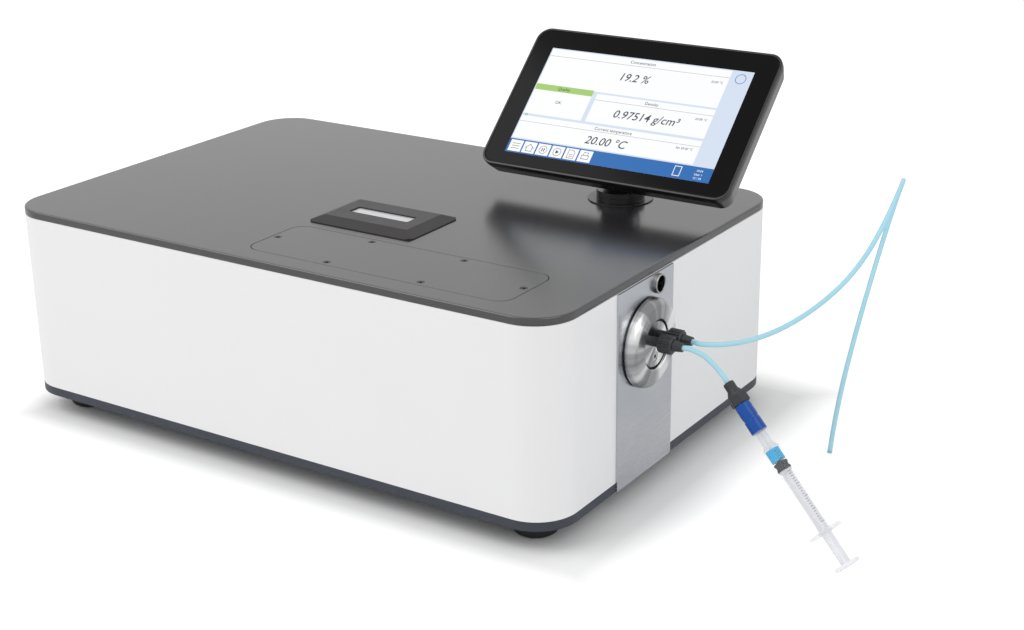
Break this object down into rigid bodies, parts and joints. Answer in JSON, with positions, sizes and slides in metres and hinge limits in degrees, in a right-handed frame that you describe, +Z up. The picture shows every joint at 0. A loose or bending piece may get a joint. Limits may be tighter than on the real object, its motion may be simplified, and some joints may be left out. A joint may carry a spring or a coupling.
{
  "type": "benchtop density meter",
  "caption": "Flat rounded bench instrument with a tilting touch display on a column, a round steel port flange with finger nuts on its side, tubing and a sample syringe.",
  "frame": {"origin": "middle of the footprint of the housing with its port nuts, on the bench, z = 0 under the feet", "axes": "+X towards the port side, -Y towards the front, +Z up"},
  "size_m": [0.5849, 0.2898, 0.2439],
  "materials": {
    "coat_dark": "fine-textured dark grey powder coat",
    "coat_cover": "satin metallic grey powder coat",
    "coat_white": "satin white powder coat",
    "coat_black": "satin black coat",
    "rubber_black": "soft black rubber",
    "steel_brushed": "brushed stainless steel",
    "steel_turned": "fine turned stainless steel",
    "steel_black": "black oxide",
    "steel_zinc": "bright zinc plate",
    "plastic_bezel": "matt moulded, dark brown-grey",
    "glass_clear": "polished",
    "glass_screen": "polished, black printed border",
    "glass_cell": "polished",
    "plastic_black": "fine moulded texture",
    "plastic_display": "satin moulded, black",
    "plastic_blue": "glossy deep blue",
    "plastic_clear": "clear moulded",
    "plastic_white": "translucent white",
    "plastic_tube": "clear, pale blue",
    "alu_block": "machined",
    "alu_case": "sheet",
    "ceramic": "fired ceramic",
    "brass_pins": "plain",
    "board_green": "solder mask",
    "lcd": "plain"
  },
  "bodies": {
    "housing": {"base_tray": "coat_dark", "tray_rim": "coat_dark", "feet": "rubber_black", "foot_screws": "steel_zinc", "cover_posts": "steel_zinc", "shell_walls": "coat_white", "shell_corners": "coat_white", "shell_rear": "coat_white", "top_cover": "coat_cover", "access_plate": "coat_cover", "access_screws": "steel_black", "window_bezel": "plastic_bezel", "window_glass": "glass_clear", "side_panel": "steel_brushed", "port_flange": "steel_turned", "port_disc": "steel_turned", "port_screw": "steel_zinc", "air_port": "steel_turned", "air_port_nut": "steel_zinc", "inlet_tube": "plastic_tube", "outlet_tube": "plastic_tube", "luer_adapter": "plastic_black", "luer_socket": "plastic_blue", "syringe_barrel": "plastic_clear", "cell_block": "alu_block", "cell_plug": "plastic_white", "cell_jacket": "glass_cell", "u_tube": "glass_cell", "peltier_plates": "ceramic", "heat_sink": "alu_block", "sink_legs": "steel_zinc", "rear_panel": "coat_dark", "rear_screws": "steel_black", "fan_frame": "plastic_black", "fan_guard": "steel_black", "mains_inlet": "plastic_black", "inlet_pins": "brass_pins", "switch_frame": "plastic_black", "lan_socket": "steel_zinc", "usb_sockets": "steel_zinc", "mainboard": "board_green", "board_standoffs": "steel_zinc", "power_supply": "alu_case", "column": "coat_black", "column_nut": "steel_zinc"},
    "fan_rotor": {"fan_rotor": "plastic_black"},
    "rocker": {"switch_rocker": "plastic_black"},
    "swivel": {"swivel_head": "coat_black", "swivel_clip": "steel_zinc"},
    "display": {"tilt_bracket": "coat_black", "tilt_pin": "steel_zinc", "bracket_screws": "steel_zinc", "display_back": "plastic_display", "display_glass": "glass_screen", "display_panel": "lcd", "display_board": "board_green"},
    "inlet_nut": {"inlet_nut": "plastic_black"},
    "outlet_nut": {"outlet_nut": "plastic_black"},
    "plunger": {"syringe_plunger": "plastic_white", "plunger_stopper": "rubber_black"}
  },
  "joints": [
    {"name": "display_swivel", "type": "hinge", "parent": "housing", "child": "swivel", "pos_m": [0.1144, 0.08165, 0.1465], "axis": [0, 0, 1], "range_deg": [-90, 90]},
    {"name": "display_tilt", "type": "hinge", "parent": "swivel", "child": "display", "pos_m": [0.1144, 0.08165, 0.1621], "axis": [-1, 0, 0], "range_deg": [-10, 30]},
    {"name": "inlet_nut_turn", "type": "hinge", "parent": "housing", "child": "inlet_nut", "pos_m": [0.2174, -0.04475, 0.105], "axis": [1, 0, 0], "continuous": true},
    {"name": "outlet_nut_turn", "type": "hinge", "parent": "housing", "child": "outlet_nut", "pos_m": [0.2174, -0.03295, 0.105], "axis": [1, 0, 0], "continuous": true},
    {"name": "plunger_slide", "type": "slide", "parent": "housing", "child": "plunger", "axis": [0.7169, -0.1867, -0.6717], "range_m": [-0.008, 0.04]},
    {"name": "power_rocker", "type": "hinge", "parent": "housing", "child": "rocker", "pos_m": [0.0734, 0.13895, 0.063], "axis": [1, 0, 0], "range_deg": [-18, 0]},
    {"name": "fan_spin", "type": "hinge", "parent": "housing", "child": "fan_rotor", "pos_m": [-0.1396, 0.12915, 0.081], "axis": [0, 1, 0], "continuous": true}
  ]
}
